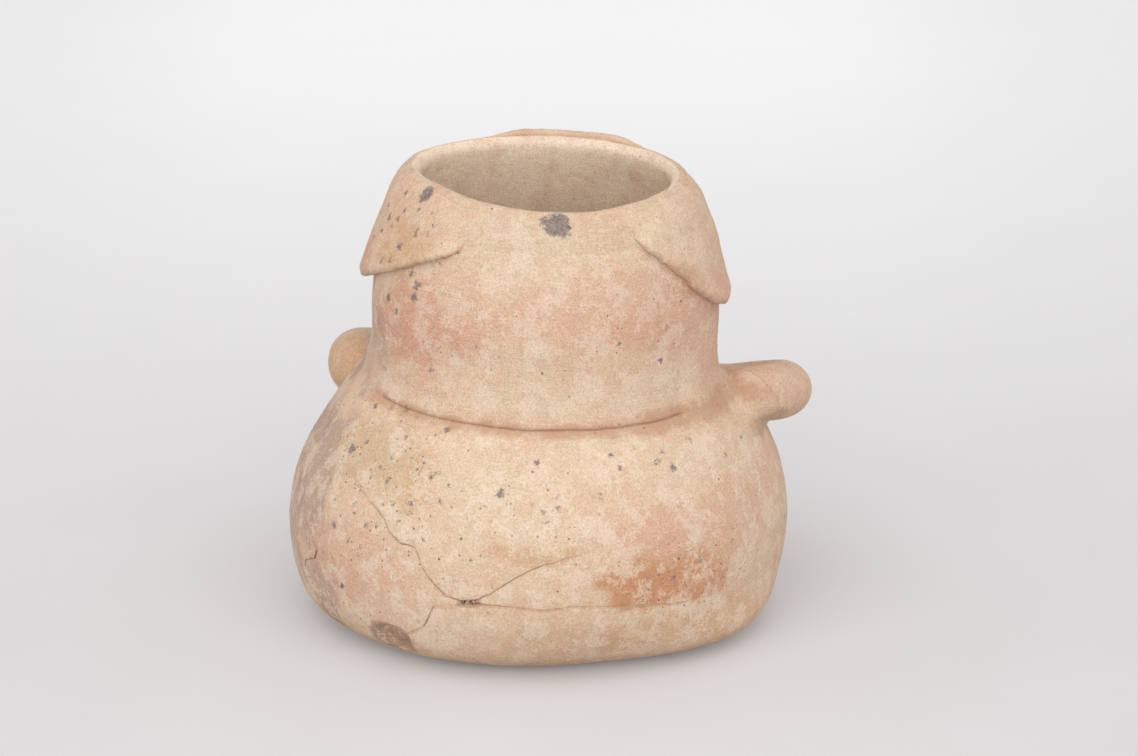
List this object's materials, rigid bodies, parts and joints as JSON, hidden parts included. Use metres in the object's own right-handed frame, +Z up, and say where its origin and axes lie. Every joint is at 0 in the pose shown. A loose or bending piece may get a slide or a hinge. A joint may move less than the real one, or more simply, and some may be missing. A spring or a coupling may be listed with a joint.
{
  "type": "effigy vessel",
  "caption": "Hand-built earthenware effigy jar: low round body, wide head-shaped neck with drooping ears at the rim, folded arms and a calm face.",
  "frame": {"origin": "centre of the flat underside", "axes": "+Z up out of the mouth, +Y the way the face looks, +X to the right seen from behind"},
  "size_m": [0.1553, 0.1534, 0.1399],
  "materials": {
    "base_clay": "matt, rubbed low-fired earthenware",
    "body_clay": "matt buff low-fired earthenware with cream and pink clouds",
    "neck_clay": "matt salmon low-fired earthenware, scraped smooth",
    "rim_clay": "matt buff low-fired earthenware, rounded by finger",
    "ear_clay": "matt orange-tan low-fired earthenware",
    "arm_clay": "matt buff low-fired earthenware",
    "face_clay": "matt buff low-fired earthenware, modelled"
  },
  "bodies": {
    "root": {"base_slab": "base_clay", "body_wall": "body_clay", "lower_left_sherd": "body_clay", "lower_back_sherd": "body_clay", "wedge_sherd": "body_clay", "neck_wall": "neck_clay", "rim_coil": "rim_clay", "forehead_strip": "rim_clay", "ear_left": "ear_clay", "ear_right": "ear_clay", "arm_left": "arm_clay", "arm_right": "arm_clay", "shoulder_tab_left": "arm_clay", "shoulder_tab_right": "arm_clay", "brow_ridge": "face_clay", "nose": "face_clay", "eye_left": "face_clay", "eye_right": "face_clay", "mouth": "face_clay"}
  },
  "joints": []
}
